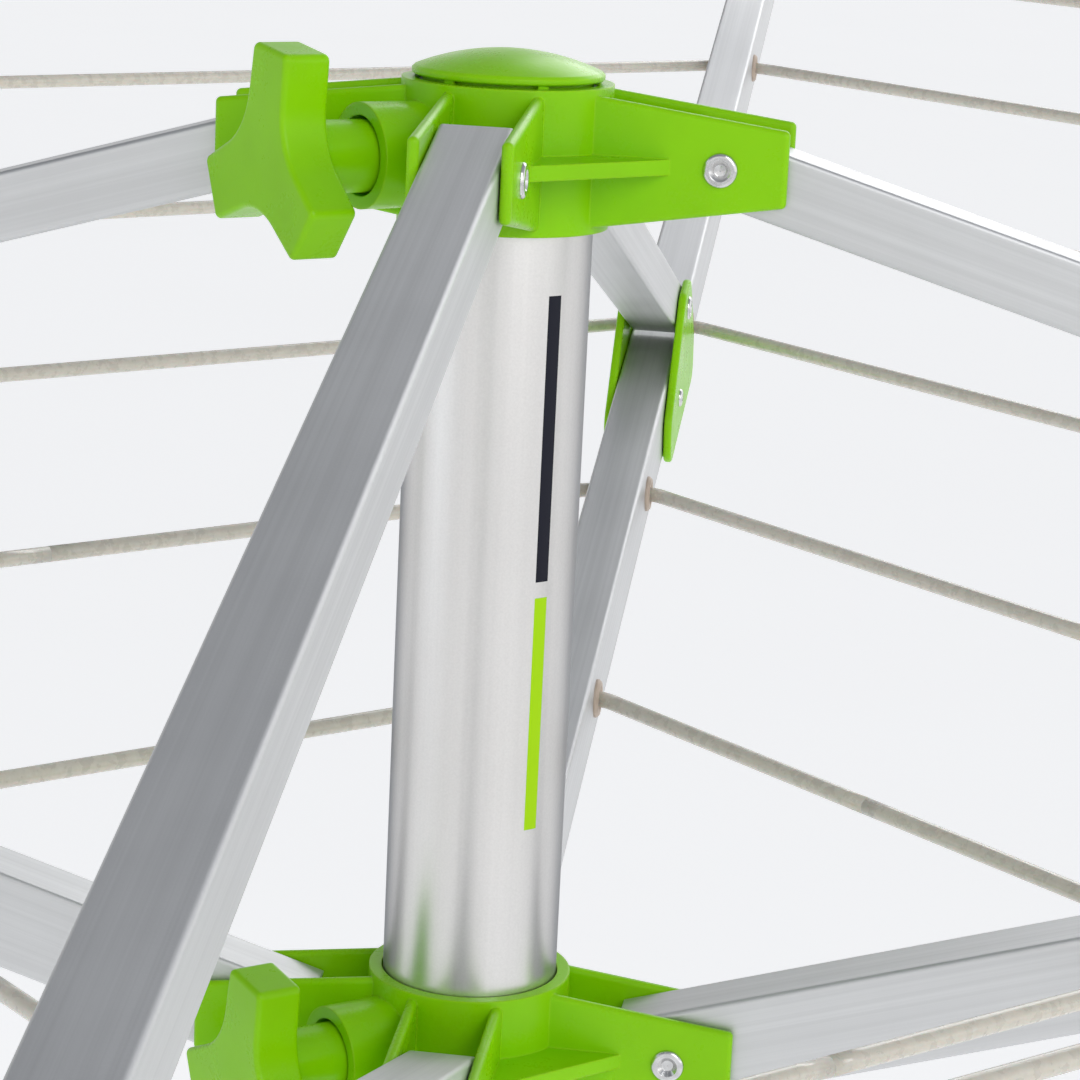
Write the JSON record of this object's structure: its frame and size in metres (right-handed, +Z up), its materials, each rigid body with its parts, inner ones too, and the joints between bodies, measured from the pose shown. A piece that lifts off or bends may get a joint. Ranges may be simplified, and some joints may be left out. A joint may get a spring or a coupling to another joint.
{
  "type": "rotary clothesline",
  "caption": "Rotary clothesline: braced arms fan out from a round mast and carry rings of washing line; the lower hub slides down the mast to fold them, and the mast turns in a ground socket.",
  "frame": {"origin": "on the mast's axis at ground level, in the underside plane of the ground socket's flange", "axes": "+Z up along the mast; +X along the right arm; +Y along the back arm; -Y towards the viewer"},
  "size_m": [2.4488, 2.4488, 2.2568],
  "materials": {
    "green_plastic": "satin moulded",
    "black_plastic": "fine grained",
    "satin_aluminium": "satin anodised",
    "arm_aluminium": "mill drawn",
    "bright_steel": "zinc plated",
    "eyelet_plastic": "moulded",
    "line_pvc": "smooth coated"
  },
  "bodies": {
    "ground_socket": {"ground_socket": "black_plastic", "socket_bushing": "black_plastic", "lid_pin": "bright_steel"},
    "socket_lid": {"socket_lid": "green_plastic"},
    "mast": {"mast_tube": "satin_aluminium", "mast_foot": "black_plastic", "upper_hub": "green_plastic", "hub_cap": "green_plastic", "upper_hub_rivets": "bright_steel", "upper_clamp_nut": "bright_steel"},
    "runner": {"runner_hub": "green_plastic", "runner_rivets": "bright_steel", "runner_clamp_nut": "bright_steel"},
    "upper_pad": {"upper_clamp_pad": "black_plastic"},
    "upper_knob": {"upper_knob": "green_plastic", "upper_clamp_screw": "bright_steel"},
    "runner_pad": {"runner_clamp_pad": "black_plastic"},
    "runner_knob": {"runner_knob": "green_plastic", "runner_clamp_screw": "bright_steel"},
    "strut_right": {"strut_tube_right": "arm_aluminium"},
    "arm_right": {"arm_tube_right": "arm_aluminium", "arm_end_cap_right": "green_plastic", "bracket_right": "green_plastic", "bracket_rivets_right": "bright_steel", "line_eyelets_right": "eyelet_plastic", "clothesline_right": "line_pvc"},
    "strut_back": {"strut_tube_back": "arm_aluminium"},
    "arm_back": {"arm_tube_back": "arm_aluminium", "arm_end_cap_back": "green_plastic", "bracket_back": "green_plastic", "bracket_rivets_back": "bright_steel", "line_eyelets_back": "eyelet_plastic", "clothesline_back": "line_pvc"},
    "strut_left": {"strut_tube_left": "arm_aluminium"},
    "arm_left": {"arm_tube_left": "arm_aluminium", "arm_end_cap_left": "green_plastic", "bracket_left": "green_plastic", "bracket_rivets_left": "bright_steel", "line_eyelets_left": "eyelet_plastic", "clothesline_left": "line_pvc"},
    "strut_front": {"strut_tube_front": "arm_aluminium"},
    "arm_front": {"arm_tube_front": "arm_aluminium", "arm_end_cap_front": "green_plastic", "bracket_front": "green_plastic", "bracket_rivets_front": "bright_steel", "line_eyelets_front": "eyelet_plastic", "clothesline_front": "line_pvc"}
  },
  "joints": [
    {"name": "lid_hinge", "type": "hinge", "parent": "ground_socket", "child": "socket_lid", "pos_m": [-0.046, 0, 0.017], "axis": [0, 1, 0], "range_deg": [0, 75]},
    {"name": "mast_spin", "type": "hinge", "parent": "ground_socket", "child": "mast", "pos_m": [0, 0, 0], "axis": [0, 0, 1], "continuous": true},
    {"name": "runner_slide", "type": "slide", "parent": "mast", "child": "runner", "axis": [0, 0, -1], "range_m": [0, 0.54697]},
    {"name": "strut_swing_right", "type": "hinge", "parent": "mast", "child": "strut_right", "pos_m": [0.06, 0, 1.8], "axis": [0, 1, 0], "range_deg": [0, 73.6]},
    {"name": "arm_fold_right", "type": "hinge", "parent": "strut_right", "child": "arm_right", "pos_m": [0.43988, 0, 1.68817], "axis": [0, -1, 0], "range_deg": [0, 142.95], "deforming": ["clothesline_right"]},
    {"name": "strut_swing_back", "type": "hinge", "parent": "mast", "child": "strut_back", "pos_m": [0, 0.06, 1.8], "axis": [-1, 0, 0], "range_deg": [0, 73.6]},
    {"name": "arm_fold_back", "type": "hinge", "parent": "strut_back", "child": "arm_back", "pos_m": [0, 0.43988, 1.68817], "axis": [1, 0, 0], "range_deg": [0, 142.95], "deforming": ["clothesline_back"]},
    {"name": "strut_swing_left", "type": "hinge", "parent": "mast", "child": "strut_left", "pos_m": [-0.06, 0, 1.8], "axis": [0, -1, 0], "range_deg": [0, 73.6]},
    {"name": "arm_fold_left", "type": "hinge", "parent": "strut_left", "child": "arm_left", "pos_m": [-0.43988, 0, 1.68817], "axis": [0, 1, 0], "range_deg": [0, 142.95], "deforming": ["clothesline_left"]},
    {"name": "strut_swing_front", "type": "hinge", "parent": "mast", "child": "strut_front", "pos_m": [0, -0.06, 1.8], "axis": [1, 0, 0], "range_deg": [0, 73.6]},
    {"name": "arm_fold_front", "type": "hinge", "parent": "strut_front", "child": "arm_front", "pos_m": [0, -0.43988, 1.68817], "axis": [-1, 0, 0], "range_deg": [0, 142.95], "deforming": ["clothesline_front"]},
    {"name": "upper_pad_slide", "type": "slide", "parent": "mast", "child": "upper_pad", "axis": [-0.749, -0.6626, 0], "range_m": [0, 0.0025]},
    {"name": "upper_knob_turn", "type": "hinge", "parent": "upper_pad", "child": "upper_knob", "pos_m": [-0.05243, -0.04638, 1.8], "axis": [-0.749, -0.6626, 0], "range_deg": [0, 720]},
    {"name": "runner_pad_slide", "type": "slide", "parent": "runner", "child": "runner_pad", "axis": [-0.749, -0.6626, 0], "range_m": [0, 0.0025]},
    {"name": "runner_knob_turn", "type": "hinge", "parent": "runner_pad", "child": "runner_knob", "pos_m": [-0.05243, -0.04638, 1.545], "axis": [-0.749, -0.6626, 0], "range_deg": [0, 720]}
  ],
  "couplings": [
    {"joint": "strut_swing_right", "follows": "runner_slide", "rad_per_m": 2.3484},
    {"joint": "arm_fold_right", "follows": "runner_slide", "rad_per_m": 4.5613},
    {"joint": "strut_swing_back", "follows": "runner_slide", "rad_per_m": 2.3484},
    {"joint": "arm_fold_back", "follows": "runner_slide", "rad_per_m": 4.5613},
    {"joint": "strut_swing_left", "follows": "runner_slide", "rad_per_m": 2.3484},
    {"joint": "arm_fold_left", "follows": "runner_slide", "rad_per_m": 4.5613},
    {"joint": "strut_swing_front", "follows": "runner_slide", "rad_per_m": 2.3484},
    {"joint": "arm_fold_front", "follows": "runner_slide", "rad_per_m": 4.5613},
    {"joint": "upper_pad_slide", "follows": "upper_knob_turn", "m_per_rad": 0.00019893},
    {"joint": "runner_pad_slide", "follows": "runner_knob_turn", "m_per_rad": 0.00019893}
  ]
}
